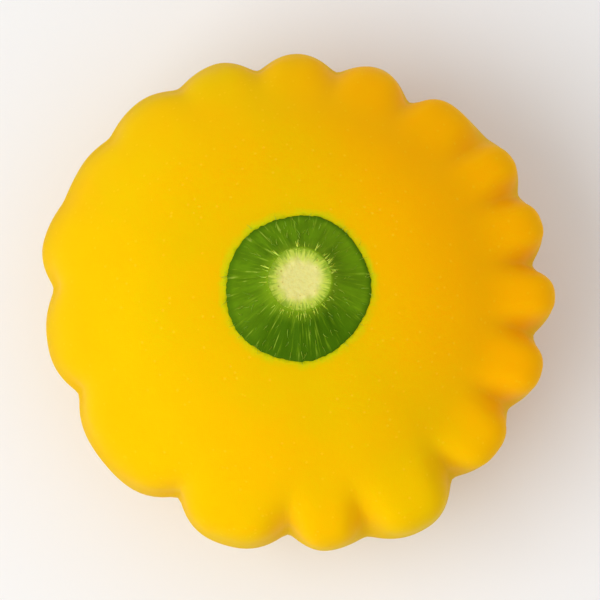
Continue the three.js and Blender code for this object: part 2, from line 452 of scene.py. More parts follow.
# %% The rule for the lobes
# Places and widths without a unit are shares of the way down the skin, from the stalk to the scar. The rim's
# edge and the two that end in "from" are such shares too, measured from the rim to either side.
LOBE_SIZES = {
    "Rim": 7 / 15,
    "Rim's edge": 0.02,
    "Rim shade width": 0.06,
    "Girth width": 0.25,
    "Brow": 5.5 / 15,
    "Brow width": 0.065,
    "Valley top, flat side": 0.33,
    "Valley top, full side": 0.23,
    "Valley full": 0.435,
    "Valley foot": 0.74,
    "Valley fade": 1.6,  # a power
    "Valley softness": 0.5 * MM,
    "Softness on the crown": 1.5 * MM,
    "Softest from": 0.16,
    "Flatter on the crown": 1.6,  # added to the arch's power
    "Flattest from": 0.12,
    "Lobe swell": 2.4 * MM,
    "Fullest side": math.radians(335),
    "Ripple size": 9 * MM,
    "Ripple height": 0.16 * MM,
    "Seed": 4,
}


def lobe_arch(rule, given):
    """1 on a valley and 0 on a lobe's crest, flatter and with a softer valley away from the rim."""
    along, width = read(rule, "along"), read(rule, "lobe_width")
    nearest = rule.math("MINIMUM", along, rule.math("SUBTRACT", 1.0, along))
    from_rim = rule.math("ABSOLUTE", rule.math("SUBTRACT", read(rule, "share"), given["Rim"]))
    softness = given["Valley softness"], given["Softness on the crown"]
    soft = rule.ramp(from_rim, given["Rim's edge"], given["Softest from"], *softness)
    soft_squared = rule.math("MULTIPLY", soft, soft)

    def rounded(distance):
        squared = rule.math("MULTIPLY_ADD", distance, distance, soft_squared)
        return rule.math("SUBTRACT", rule.math("SQRT", squared), soft)

    away = rounded(rule.math("MULTIPLY", nearest, width))
    whole = rounded(rule.math("MULTIPLY", width, 0.5))
    flat = rule.ramp(from_rim, given["Rim's edge"], given["Flattest from"])
    flatter = rule.math("MULTIPLY", flat, given["Flatter on the crown"])
    power = rule.math("ADD", read(rule, "power"), flatter)
    return rule.math("POWER", rule.math("SUBTRACT", 1.0, rule.math("DIVIDE", away, whole)), power)


# %% How far the skin stands out
def skin_offset(rule, given):
    """How far each point moves along its outward direction, and how deep in a valley it is, from 0 to 1."""
    share = read(rule, "share")
    arch = lobe_arch(rule, given)
    side = rule.math("COSINE", rule.math("SUBTRACT", read(rule, "turn"), given["Fullest side"]))
    fullness = rule.math("MULTIPLY_ADD", side, 0.5, 0.5)
    top = rule.ramp(fullness, 0.0, 1.0, given["Valley top, flat side"], given["Valley top, full side"], False)
    above = rule.math("POWER", rule.ramp(share, top, given["Valley full"]), given["Valley fade"])
    below = rule.ramp(share, given["Rim"], given["Valley foot"], 1.0, 0.0)
    valley = rule.math("MULTIPLY", rule.math("MULTIPLY", above, below), arch)
    notch = rule.math("MULTIPLY", valley, read(rule, "valley_depth"))

    brow = rule.math("MULTIPLY", fullness, rule.bell(share, given["Brow"], given["Brow width"]))
    brow = rule.math("MULTIPLY", brow, rule.math("SUBTRACT", 1.0, arch))
    near_rim = rule.bell(share, given["Rim"], given["Girth width"])
    girth = rule.math("MULTIPLY", read(rule, "stands_out"), near_rim)
    swell = rule.math("MULTIPLY_ADD", brow, given["Lobe swell"], girth)

    ripples = {"W": given["Seed"], "Scale": rule.math("DIVIDE", 1.0, given["Ripple size"]), "Detail": 2.0}
    noise = rule.add("ShaderNodeTexNoise", ripples, noise_dimensions="4D")
    ripple = rule.math("MULTIPLY", rule.math("SUBTRACT", noise, 0.5), given["Ripple height"])
    return rule.math("ADD", rule.math("SUBTRACT", swell, notch), ripple), valley


# %% How the rim rises and falls
RIM_WAVES = [(2, 110, 0.5 * MM), (3, 10, 0.35 * MM)]  # how many round the fruit, degrees of a crest, height


def uneven_rim(rule, given):
    """Moves the rim up and down, in slow waves round the fruit."""
    rise = 0.0
    for count, degrees, height in RIM_WAVES:
        rise = rule.math("MULTIPLY_ADD", rule.wave(read(rule, "turn"), count, degrees), height, rise)
    near_rim = rule.bell(read(rule, "share"), given["Rim"], given["Girth width"])
    return rule.along_z(rule.math("MULTIPLY", rise, near_rim))


# %% The tree that grows the fruit
def lobe_rule():
    """Keeps what the paint reads, moves every point, and lays what came too low back on the surface."""
    rule, given, end = new_rule("Lobes of the squash", LOBE_SIZES)
    away, valley = skin_offset(rule, given)
    lobes = rule.scale(read(rule, "outwards", "FLOAT_VECTOR"), away)
    offset = rule.vector("ADD", lobes, uneven_rim(rule, given))
    # the valley and the rim band are kept for the paint, which lays painted shade on both
    marked = store(rule, given["Geometry"], "valley", valley)
    marked = store(rule, marked, "rim", rule.bell(read(rule, "share"), given["Rim"], given["Rim shade width"]))
    moved = rule.add("GeometryNodeSetPosition", {"Geometry": marked, "Offset": offset})
    on_surface = rule.vector("MAXIMUM", rule.add("GeometryNodeInputPosition"), (-1, -1, 0))
    laid = rule.add("GeometryNodeSetPosition", {"Geometry": moved, "Position": on_surface})
    end_rule(rule, laid, given["Material"], end)
    return rule.tree


lobe_tree = lobe_rule()
print("the lobes' tree has", len(lobe_tree.nodes), "nodes")

# %% [markdown]
# ## The skin
#
# The skin is bright yellow with a waxy softness: light goes a little way in, so the shaded side stays warm.
# It isn't one flat colour. The lobes are a paler lemon, with deeper patches here and there, there are faint
# pale pores, and a thin yellow-green halo runs round the stalk. Painted shade makes a band along the rim a
# little darker, and the valleys and one side a deeper orange. Underneath, the skin ends in the
# cream-coloured, corky scar of the blossom. The pattern reads where a point lies, what the lobes' tree kept
# on it, and two distances that we measure on the mesh. The sheen is tinted yellow, because a white one would
# look chalky.

# %% Colours of the skin
SKIN_YELLOW = (0.78, 0.505, 0.0005, 1)
SKIN_LEMON = (0.85, 0.525, 0.0005, 1)
# A deeper orange: for random patches, and for painted shade in the valleys and on one side
SKIN_DEEP = (0.98, 0.43, 0.0005, 1)
# a darker yellow, for the painted shade along the rim
SKIN_RIM_SHADE = (0.70, 0.41, 0.0004, 1)
SKIN_SHEEN = (1.0, 0.8, 0.15, 1)
PORE_PALE = (1.0, 0.62, 0.03, 1)
HALO_LIME = (0.60, 0.60, 0.004, 1)
HALO_GREEN = (0.38, 0.42, 0.002, 1)
SCAR_CREAM = (0.62, 0.47, 0.12, 1)
SCAR_BROWN = (0.33, 0.20, 0.05, 1)
SCAR_RING = (0.70, 0.52, 0.01, 1)
SKIN_SHADER = {
    "Roughness": 0.5,
    "Specular IOR Level": 0.02,
    "Specular Tint": SKIN_SHEEN,
    "Subsurface Weight": 0.4,
    "Subsurface Radius": (1.0, 0.35, 0.03),
    "Subsurface Scale": 3 * MM,
}
SKIN_BUMP = {"Strength": 0.25, "Distance": 0.05 * MM}


# %% Helpers for paints
def new_paint(name, settings):
    """A material with its Principled shader's constants set, and a wiring to add nodes to it."""
    material = bpy.data.materials.new(name)
    material.use_nodes = True
    shader = material.node_tree.nodes["Principled BSDF"].inputs
    for label, value in settings.items():
        shader[label].default_value = value
    return material, Wiring(material.node_tree), shader


def mix(paint, share, first, second):
    """Goes from the first colour to the second as share goes from 0 to 1."""
    node = paint.tree.nodes.new("ShaderNodeMix")
    node.data_type = "RGBA"
    for socket, value in zip((node.inputs[0], node.inputs[6], node.inputs[7]), (share, first, second)):
        if isinstance(value, bpy.types.NodeSocket):
            paint.tree.links.new(value, socket)
        else:
            socket.default_value = value
    return node.outputs[2]


def noise(paint, place, size, detail=2.0):
    """Noise whose spots are about that size, from 0 to 1."""
    return paint.add("ShaderNodeTexNoise", {"Vector": place, "Scale": 1 / size, "Detail": detail})


def dots(paint, place, spacing):
    """How far each point is from the nearest of many scattered dots, as a share of their spacing."""
    return paint.add("ShaderNodeTexVoronoi", {"Vector": place, "Scale": 1 / spacing})


def wander(paint, value, width):
    """Turns noise from 0 to 1 into a drift to either side, that wide in all."""
    return paint.math("MULTIPLY_ADD", value, width, -width / 2)


def attribute(paint, name, output="Fac"):
    return paint.add("ShaderNodeAttribute", output=output, attribute_name=name)


def wire(paint, shader, colour, height, bump):
    """Gives the shader its colour, and a bump with those settings from the height."""
    paint.tree.links.new(colour, shader["Base Color"])
    paint.tree.links.new(paint.add("ShaderNodeBump", {**bump, "Height": height}), shader["Normal"])


print("helpers for paints ready")

# %% [markdown]
# Each tint of the skin comes in gradually. A fade below says from where to where it does, and how strong the
# tint is at either end: by the distance from the stalk's edge or the scar's middle, or by the noise.

# %% The skin's tints
PAINTED_SHADE_SIDE = (0.92, 0.45, 0)  # the side that gets painted shade, a deeper orange
LEMON_FADE = (5 * MM, 14 * MM, 0.0, 0.8)
PAINTED_SHADE_SIDE_FADE = (2 * MM, 18 * MM, 0.0, 0.9)
PATCH_SIZE = 13 * MM
PATCH_FADE = (0.35, 0.7, 0.0, 0.3)
VALLEY_PAINTED_SHADE = 0.25
RIM_PAINTED_SHADE = 0.7
PORE_SPACING = 1.1 * MM
PORE_FADE = (0.10, 0.16, 1.0, 0.0)
PORE_TINT = 0.25
PORE_DENT = -0.8
EDGE_WANDER = 0.9 * MM
LIME_FADE = (0.1 * MM, 1.1 * MM, 1.0, 0.0)
LIME_PATCH_SIZE = 3.5 * MM
LIME_PATCHES = (0.35, 0.65, 0.35, 0.9)
GREEN_FADE = (-0.1 * MM, 0.4 * MM, 0.75, 0.0)
SCAR_RING_FADE = (2.9 * MM, 3.9 * MM, 0.8, 0.0)
CORK_FADE = (2.0 * MM, 2.5 * MM, 1.0, 0.0)
CORK_GRAIN = 0.3 * MM
CORK_GRAIN_FADE = (0.35, 0.65)
SHINE_SIZE = 5 * MM
SHINE_FADE = (0.3, 0.7, 0.44, 0.58)  # its two ends are roughnesses
FINE_GRAIN = 0.5 * MM


def open_skin(paint, place, pores):
    """The yellow between the stalk and the scar, with painted shade on the rim, the valleys and one side."""
    colour = mix(paint, paint.ramp(attribute(paint, "from_stem"), *LEMON_FADE), SKIN_YELLOW, SKIN_LEMON)
    colour = mix(paint, paint.ramp(noise(paint, place, PATCH_SIZE), *PATCH_FADE), colour, SKIN_DEEP)
    # painted shade: one side turns a deeper orange
    colour = mix(paint, paint.ramp(paint.dot(place, PAINTED_SHADE_SIDE), *PAINTED_SHADE_SIDE_FADE), colour, SKIN_DEEP)
    # painted shade in the valleys between the lobes
    colour = mix(paint, paint.math("MULTIPLY", attribute(paint, "valley"), VALLEY_PAINTED_SHADE), colour, SKIN_DEEP)
    # painted shade: a darker band along the rim
    colour = mix(paint, paint.math("MULTIPLY", attribute(paint, "rim"), RIM_PAINTED_SHADE), colour, SKIN_RIM_SHADE)
    return mix(paint, pores, colour, PORE_PALE)


def halo_round_stalk(paint, place, colour, drift):
    """Lime in patches, and a thin green line right beside the stalk."""
    from_stem = paint.math("ADD", attribute(paint, "from_stem"), drift)
    patches = paint.ramp(noise(paint, place, LIME_PATCH_SIZE), *LIME_PATCHES)
    lime = paint.math("MULTIPLY", paint.ramp(from_stem, *LIME_FADE), patches)
    colour = mix(paint, lime, colour, HALO_LIME)
    return mix(paint, paint.ramp(from_stem, *GREEN_FADE), colour, HALO_GREEN)


def blossom_scar(paint, place, colour, drift):
    """A pale ring, and grainy cork inside it."""
    from_scar = paint.math("ADD", attribute(paint, "from_scar"), paint.math("MULTIPLY", drift, 0.5))
    colour = mix(paint, paint.ramp(from_scar, *SCAR_RING_FADE), colour, SCAR_RING)
    grain = paint.ramp(noise(paint, place, CORK_GRAIN, detail=4.0), *CORK_GRAIN_FADE)
    cork = mix(paint, grain, SCAR_BROWN, SCAR_CREAM)
    return mix(paint, paint.ramp(from_scar, *CORK_FADE), colour, cork)


# %% The skin's material
def skin_paint():
    material, paint, shader = new_paint("squash_skin", SKIN_SHADER)
    place = paint.add("ShaderNodeTexCoord", output="Object")
    pores = paint.math("MULTIPLY", paint.ramp(dots(paint, place, PORE_SPACING), *PORE_FADE), PORE_TINT)
    drift = wander(paint, noise(paint, place, EDGE_WANDER), EDGE_WANDER)
    colour = open_skin(paint, place, pores)
    colour = halo_round_stalk(paint, place, colour, drift)
    colour = blossom_scar(paint, place, colour, drift)
    shine = paint.ramp(noise(paint, place, SHINE_SIZE, detail=3.0), *SHINE_FADE)
    paint.tree.links.new(shine, shader["Roughness"])
    grain = noise(paint, place, FINE_GRAIN, detail=3.0)
    height = paint.math("ADD", grain, paint.math("MULTIPLY", pores, PORE_DENT))
    wire(paint, shader, colour, height, SKIN_BUMP)
    return material


skin_material = skin_paint()
print("skin painted with", len(skin_material.node_tree.nodes), "nodes")

# %% [markdown]
# ## The fruit, grown and put in its place
#
# The tree is run, and the result is fitted over the solid that it stands for. That solid was moved a little,
# so that the middle of its outline is over the origin, and its box tells us by how much. Then we measure, on
# every point, how far it is from the stalk's edge and from the scar's middle.

# %% The stalk's outline
RIDGES = 5
RIDGE_CREST = 68  # degrees
RIDGE_SHARE = 0.013  # how far a corner stands out, as a share of the radius
SLANT_CREST = 60  # degrees
SLANT_SHARE = 0.01


def stem_outline(turn):
    """The stalk's base is a softly five-cornered round, drawn out a little on one slant."""
    slant = SLANT_SHARE * np.cos(2 * (turn - math.radians(SLANT_CREST)))
    return 1 + slant + RIDGE_SHARE * np.cos(RIDGES * (turn - math.radians(RIDGE_CREST)))


# %% Reading and moving the points of a mesh
def points_of(mesh):
    points = np.empty(len(mesh.vertices) * 3)
    mesh.vertices.foreach_get("co", points)
    return points.reshape(-1, 3)


def put_points(mesh, points):
    mesh.vertices.foreach_set("co", np.asarray(points).ravel())
    mesh.update()


def measure(mesh, name, values):
    """Keeps one number for each point, for the material to read."""
    mesh.attributes.new(name, "FLOAT", "POINT").data.foreach_set("value", np.asarray(values, float))


# %% The fruit
FAR = 1.0  # metres: said of every point on the other half of the fruit

fruit_mesh = grow(plain_fruit, lobe_tree, LOBE_SIZES, skin_material, ["valley", "rim"])
points = points_of(fruit_mesh)
low, high = points.min(0), points.max(0)
box_low, box_high = np.array(fruit_low), np.array(fruit_high)
fit = ((box_high - box_low) / (high - low))[:2].min()
axis = np.append((box_low + box_high)[:2] / 2 - fit * (low + high)[:2] / 2, 0.0)

radius = np.hypot(points[:, 0], points[:, 1])
turn = np.arctan2(points[:, 1], points[:, 0])
on_top = points[:, 2] > FRUIT_HEIGHT / 2
measure(fruit_mesh, "from_stem", np.where(on_top, radius - STEM_RADIUS * stem_outline(turn), FAR))
measure(fruit_mesh, "from_scar", np.where(on_top, FAR, radius))
put_points(fruit_mesh, points * (fit, fit, 1) + axis)
print("fitted by", round(fit, 4), "and moved by", (axis[:2] / MM).round(3), "mm")

finished_piece("squash_fruit", fruit_mesh, "fruit")
bpy.data.objects.remove(plain_fruit)

# %% [markdown]
# ## The green base of the stalk
#
# Where the stalk met the fruit it flares out into a green, ribbed skirt, whose edge lies thin on the yellow
# skin. It isn't quite in the middle: the cut sits a little off the centre of the skirt. We lay a fine grid
# from the rim of the cut out to the edge, and close it underneath, where it sinks into the fruit. The ribs,
# the fine grooves between them and the ragged edge follow a rule, so they are left to a tree.

# %% The stalk's measures
CROWN = SIDE_LINE[0, 1] * FRUIT_HEIGHT
CUT_RADIUS = 3.2 * MM
CUT_RISE = 2.2 * MM
CUT_TOP = CROWN + CUT_RISE
CUT_OFFSET = np.array([0.2, 0.7]) * MM
SKIRT_EDGE = 7.4 * MM  # a little wider than the green shows, because the edge dips into the skin
# The skirt's side line, from the cut's rim to the edge: shares of the way out and of the rise
SKIRT_LINE = np.array([
    (0, 1), (0.04, 0.93), (0.14, 0.66), (0.32, 0.42), (0.56, 0.26), (0.8, 0.15), (0.95, 0.08), (1, -0.06),
])
SKIRT_RINGS = 64
SKIRT_STEPS = 360
CUP_DEPTH = 0.5 * MM  # the hollow in its top that holds the pith
CUP_RINGS = np.array([[0.5], [0.88]])  # shares of the cut's radius
SUNK = 0.35 * MM  # how deep its underside lies in the fruit
UNDER_RINGS = np.array([[0.97], [0.5]])  # shares of the way from the middle to the edge


def plain_skirt_grid():
    """The skirt without ribs. Every point keeps its way: its direction from the middle, and how far out."""
    turn = np.linspace(0, 2 * math.pi, SKIRT_STEPS, endpoint=False)
    edge = SKIRT_EDGE * stem_outline(turn)
    line, _ = smooth_line(SKIRT_LINE, np.linspace(0, 1, SKIRT_RINGS))
    out = np.vstack([np.zeros_like(CUP_RINGS), line[:, :1], np.ones_like(UNDER_RINGS)])
    cup = ring_points(CUT_RADIUS * CUP_RINGS, CUT_TOP - CUP_DEPTH, turn)
    skirt = ring_points(CUT_RADIUS + line[:, :1] * (edge - CUT_RADIUS), CROWN + line[:, 1:] * CUT_RISE, turn)
    underside = ring_points(edge * UNDER_RINGS, CROWN - SUNK, turn)
    rings = np.vstack([cup, skirt, underside])
    rings[:, :, :2] += CUT_OFFSET * (1 - out)[:, :, None]
    facts = {"turn": np.tile(turn, (len(out), 1)), "way": ring_points(1.0, out, turn)}
    top, bottom = (*CUT_OFFSET, CUT_TOP - CUP_DEPTH), (0, 0, CROWN - SUNK)
    return closed_grid("plain_skirt", rings, top, bottom, facts)


plain_skirt = plain_skirt_grid()
print("plain skirt:", len(plain_skirt.data.vertices), "points")

# %% The rule for the ribs
SKIRT_SIZES = {
    "Ridge height": 0.22 * MM,
    "Ribs": 20,
    "Rib height": 0.07 * MM,
    "Grooves round": 11.0,
    "Groove depth": 0.2 * MM,
    "Tears round": 13.0,
    "Fringe": 0.4 * MM,
}
# Where the ridges, the ribs and the grooves are: the middle and the width, as shares of the way out
RIDGE_PLACE = (0.45, 0.3)
RIB_PLACE = (0.4, 0.4)
GROOVE_PLACE = (0.5, 0.4)
FRINGE_FROM = 0.8
DRAWN_OUT = (1, 1, 0.12)  # makes grooves that run outwards from noise
FLAT = (1, 1, 0)


def signed_noise(rule, place, scale, detail=2.0):
    """Noise from about -0.5 to 0.5."""
    inputs = {"Vector": place, "Scale": scale, "Detail": detail}
    return rule.math("SUBTRACT", rule.add("ShaderNodeTexNoise", inputs), 0.5)


def skirt_rule():
    """Raises the ridges and the ribs, sinks the grooves, and frays the edge."""
    rule, given, end = new_rule("Ribs of the stalk", SKIRT_SIZES)
    turn, way = read(rule, "turn"), read(rule, "way", "FLOAT_VECTOR")
    out, outwards = rule.z_of(way), rule.vector("MULTIPLY", way, FLAT)
    ridge = rule.math("MULTIPLY", rule.wave(turn, RIDGES, RIDGE_CREST), rule.bell(out, *RIDGE_PLACE))
    rib = rule.math("COSINE", rule.math("MULTIPLY", turn, given["Ribs"]))
    rib = rule.math("MULTIPLY", rib, rule.bell(out, *RIB_PLACE))
    stretched = rule.vector("MULTIPLY", way, DRAWN_OUT)
    groove = signed_noise(rule, stretched, given["Grooves round"], detail=3.0)
    groove = rule.math("MULTIPLY", groove, rule.bell(out, *GROOVE_PLACE))
    height = rule.math("MULTIPLY", ridge, given["Ridge height"])
    height = rule.math("MULTIPLY_ADD", rib, given["Rib height"], height)
    height = rule.math("MULTIPLY_ADD", groove, given["Groove depth"], height)

    ragged = signed_noise(rule, outwards, given["Tears round"], detail=4.0)
    fringe = rule.math("MULTIPLY", rule.ramp(out, FRINGE_FROM, 1.0), given["Fringe"])
    ragged = rule.math("MULTIPLY", ragged, fringe)
    offset = rule.vector("ADD", rule.scale(outwards, ragged), rule.along_z(height))
    ribbed = rule.add("GeometryNodeSetPosition", {"Geometry": given["Geometry"], "Offset": offset})
    end_rule(rule, ribbed, given["Material"], end)
    return rule.tree


skirt_tree = skirt_rule()
print("the skirt's tree has", len(skirt_tree.nodes), "nodes")

# %% [markdown]
# The green isn't even either. Paler streaks run out from the cut along the ribs, palest on one side, where
# painted light adds to them. Painted light makes three sides more yellow and painted shade makes one darker.
# The ring next to the cut is fresh and light, and the edge is darkest. All of these follow the stalk and not
# the axes, so the paint reads the way round and out that we kept on every point.

# %% The green paint
STALK_GREEN = (0.085, 0.20, 0.002, 1)
STALK_DARK = (0.048, 0.125, 0.001, 1)
STALK_LIGHT = (0.18, 0.31, 0.006, 1)
STALK_STREAK = (0.33, 0.45, 0.05, 1)
STALK_FRESH = (0.36, 0.50, 0.02, 1)
STALK_SHEEN = (0.7, 1.0, 0.2, 1)
STALK_SHADER = {
    "Roughness": 0.6,
    "Specular IOR Level": 0.1,
    "Specular Tint": STALK_SHEEN,
    "Subsurface Weight": 0.1,
    "Subsurface Radius": (0.4, 1.0, 0.1),
    "Subsurface Scale": 0.6 * MM,
}
STALK_BUMP = {"Strength": 0.4, "Distance": 0.06 * MM}
# The sides with painted light and painted shade: towards how many degrees, the colour, and how strong it is
STALK_LIT_AND_SHADED_SIDES = [
    (195, STALK_LIGHT, 0.3), (12, STALK_LIGHT, 0.35), (88, STALK_LIGHT, 0.25), (277, STALK_DARK, 0.9),
]
SIDE_FADE = (0.3, 0.95)
# the side where painted light makes the pale streaks strongest
PAINTED_LIGHT_STREAK_SIDE = 185
PAINTED_LIGHT_STREAK_FADE = (-0.6, 0.8, 0.15, 0.8)
# How often each pattern changes across the stalk, left to right and front to back, and on the way out
BAND_COUNTS = (7, 7, 1.2)
STREAK_COUNTS = (26, 26, 1.6)
GRAIN_COUNTS = (60, 60, 8)
BAND_FADE = (0.35, 0.62)
BLOTCH_SIZE = 1.3 * MM
BLOTCH_FADE = (0.5, 0.66, 0.0, 0.6)
STREAK_FADE = (0.52, 0.68, 0.0, 0.5)
PALE_STREAK_FADE = (0.64, 0.7)
# By the way out, from 0 beside the cut to 1 at the edge
LIGHT_FADE = (0.0, 0.3, 0.75, 0.0)
FRESH_FADE = (0.04, 0.17, 0.7, 0.0)
FRESH_WANDER = 0.25
DARK_EDGE_FADE = (0.8, 0.97, 0.0, 0.7)


def direction(degrees):
    """The flat direction that lies at that many degrees round the stalk."""
    return math.cos(math.radians(degrees)), math.sin(math.radians(degrees)), 0


def drawn_out(paint, way, counts, detail=2.0):
    """Noise that is drawn out into streaks, from the cut to the edge."""
    return noise(paint, paint.vector("MULTIPLY", way, counts), 1.0, detail)


def stalk_paint():
    material, paint, shader = new_paint("stalk_green", STALK_SHADER)
    place = paint.add("ShaderNodeTexCoord", output="Object")
    way = attribute(paint, "way", "Vector")
    out = paint.z_of(way)
    bands = paint.ramp(drawn_out(paint, way, BAND_COUNTS), *BAND_FADE)
    colour = mix(paint, bands, STALK_DARK, STALK_GREEN)
    blotches = paint.ramp(noise(paint, place, BLOTCH_SIZE, detail=3.0), *BLOTCH_FADE)
    colour = mix(paint, blotches, colour, STALK_DARK)
    # painted light on three sides of the skirt and painted shade on one
    for degrees, side_colour, strength in STALK_LIT_AND_SHADED_SIDES:
        side = paint.ramp(paint.dot(way, direction(degrees)), *SIDE_FADE, 0.0, strength)
        colour = mix(paint, side, colour, side_colour)
    streaks = drawn_out(paint, way, STREAK_COUNTS)
    colour = mix(paint, paint.ramp(streaks, *STREAK_FADE), colour, STALK_LIGHT)
    # the pale streaks, strongest on the side with painted light
    streaky = paint.ramp(paint.dot(way, direction(PAINTED_LIGHT_STREAK_SIDE)), *PAINTED_LIGHT_STREAK_FADE)
    pale = paint.math("MULTIPLY", paint.ramp(streaks, *PALE_STREAK_FADE), streaky)
    colour = mix(paint, pale, colour, STALK_STREAK)
    colour = mix(paint, paint.ramp(out, *LIGHT_FADE), colour, STALK_LIGHT)
    fresh = paint.math("MULTIPLY_ADD", streaks, FRESH_WANDER, out)
    colour = mix(paint, paint.ramp(fresh, *FRESH_FADE), colour, STALK_FRESH)
    colour = mix(paint, paint.ramp(out, *DARK_EDGE_FADE), colour, STALK_DARK)
    wire(paint, shader, colour, drawn_out(paint, way, GRAIN_COUNTS, detail=3.0), STALK_BUMP)
    return material


stalk_material = stalk_paint()
print("stalk painted with", len(stalk_material.node_tree.nodes), "nodes")

# %% The skirt
def shifted_to_axis(mesh):
    """Moves a piece of the stalk over the fruit's axis."""
    put_points(mesh, points_of(mesh) + axis)
    return mesh


def under_the_top(mesh):
    """Presses down what would stand higher than the squash itself."""
    points = points_of(mesh)
    points[:, 2] = np.minimum(points[:, 2], stem_high[2])
    put_points(mesh, points)
    return mesh


skirt_mesh = grow(plain_skirt, skirt_tree, SKIRT_SIZES, stalk_material, ["way"])
skirt = finished_piece("stem_skirt", under_the_top(shifted_to_axis(skirt_mesh)), "stem")
bpy.data.objects.remove(plain_skirt)

# %% [markdown]
# ## The cut
#
# The knife left a pale round face: soft, cream-coloured pith in the middle, and a yellow-green ring of fibres
# that tore rather than cut, round it. It is a shallow dish with a rough surface and an uneven rim. A second
# grid makes it, set into the hollow in the top of the skirt.

# %% The plain face of the cut
FACE_RADIUS = 3.2 * MM
FACE_LEVEL = -0.04 * MM  # of its rim, from the top of the cut
FACE_DISH = 0.25 * MM
FACE_RINGS = 44
FACE_STEPS = 200
FIRST_RING = 0.02  # share of its radius
# Its side and its underside: shares of its radius, and heights from the top of the cut
FACE_BACK = np.array([[0.99, -0.08 * MM], [0.95, -0.42 * MM], [0.5, -0.42 * MM]])


def plain_face_grid():
    """A shallow dish with a short side, whose points keep their way as the skirt's do."""
    turn = np.linspace(0, 2 * math.pi, FACE_STEPS, endpoint=False)
    face_out = np.linspace(FIRST_RING, 1, FACE_RINGS)[:, None]
    height = FACE_LEVEL - FACE_DISH * (1 - face_out**2)
    out = np.vstack([face_out, np.ones((len(FACE_BACK), 1))])
    radius = FACE_RADIUS * np.vstack([face_out, FACE_BACK[:, :1]])
    rings = ring_points(radius, CUT_TOP + np.vstack([height, FACE_BACK[:, 1:]]), turn)
    rings[:, :, :2] += CUT_OFFSET
    facts = {"turn": np.tile(turn, (len(out), 1)), "way": ring_points(1.0, out, turn)}
    top, bottom = (*CUT_OFFSET, CUT_TOP + height[0, 0]), (*CUT_OFFSET, CUT_TOP + FACE_BACK[-1, 1])
    return closed_grid("plain_face", rings, top, bottom, facts)


plain_face = plain_face_grid()
print("plain face:", len(plain_face.data.vertices), "points")

# %% The rule for the torn face
FACE_SIZES = {
    "Uneven rim": 0.5 * MM,
    "Tears round": 4.0,
    "Pit size": 0.45 * MM,
    "Pit depth": 0.22 * MM,
    "Bundles": 10,
    "Bundle height": 0.07 * MM,
}
BUNDLE_PLACE = (0.66, 0.14)  # the middle and the width of their ring, as shares of the way out
PIT_FADE = (0.2, 0.9, 0.35, 1.0)  # the pits are shallower in the middle
RIM_POWER = 4.0  # the higher, the closer to the rim it is torn


def face_rule():
    """Pits all over, fibre bundles in a ring, and a torn rim."""
    rule, given, end = new_rule("Torn face of the cut", FACE_SIZES)
    turn, way = read(rule, "turn"), read(rule, "way", "FLOAT_VECTOR")
    out, outwards = rule.z_of(way), rule.vector("MULTIPLY", way, FLAT)
    position = rule.add("GeometryNodeInputPosition")
    pit = signed_noise(rule, position, rule.math("DIVIDE", 1.0, given["Pit size"]), detail=3.0)
    pit = rule.math("MULTIPLY", pit, given["Pit depth"])
    bundle = rule.math("COSINE", rule.math("MULTIPLY", turn, given["Bundles"]))
    bundle = rule.math("MULTIPLY", bundle, rule.bell(out, *BUNDLE_PLACE))
    height = rule.math("MULTIPLY", pit, rule.ramp(out, *PIT_FADE))
    height = rule.math("MULTIPLY_ADD", bundle, given["Bundle height"], height)
    torn = signed_noise(rule, outwards, given["Tears round"], detail=4.0)
    torn = rule.math("MULTIPLY", torn, rule.math("POWER", out, RIM_POWER))
    torn = rule.scale(outwards, rule.math("MULTIPLY", torn, given["Uneven rim"]))
    offset = rule.vector("ADD", torn, rule.along_z(height))
    torn_face = rule.add("GeometryNodeSetPosition", {"Geometry": given["Geometry"], "Offset": offset})
    end_rule(rule, torn_face, given["Material"], end)
    return rule.tree


face_tree = face_rule()
print("the face's tree has", len(face_tree.nodes), "nodes")

# %% The pith's paint
PITH_CREAM = (0.77, 0.71, 0.24, 1)
PITH_WARM = (0.74, 0.61, 0.16, 1)
PITH_GREEN = (0.50, 0.61, 0.06, 1)
PITH_EDGE = (0.20, 0.35, 0.008, 1)
PITH_BROWN = (0.30, 0.19, 0.03, 1)
PITH_SHADER = {
    "Roughness": 0.75,
    "Specular IOR Level": 0.1,
    "Specular Tint": SKIN_SHEEN,
    "Subsurface Weight": 0.2,
    "Subsurface Radius": (1.0, 0.8, 0.3),
    "Subsurface Scale": 0.8 * MM,
}
PITH_BUMP = {"Strength": 0.5, "Distance": 0.08 * MM}
PITH_GRAIN = 0.16 * MM
CELL_SIZE = 0.35 * MM
CELL_FADE = (0.4, 0.7, 0.0, 0.5)
# The green ring, by the way out from the middle of the cut, and how far its inner edge wanders
GREEN_RING_FADE = (0.5, 0.82, 0.0, 0.9)
GREEN_RING_WANDER = 0.5
WANDER_SIZE = 1.2 * MM
FIBRE_COUNTS = (14, 14, 1.5)
FIBRE_FADE = (0.5, 0.65, 0.0, 0.6)
FRAYED_FADE = (0.74, 1.0, 0.0, 0.85)
FRAYED_WANDER = 0.9
SPECK_SPACING = 0.7 * MM
SPECK_FADE = (0.1, 0.2, 1.0, 0.0)
SPECK_PLACE = (0.7, 0.25)
SPECK_TINT = 0.55


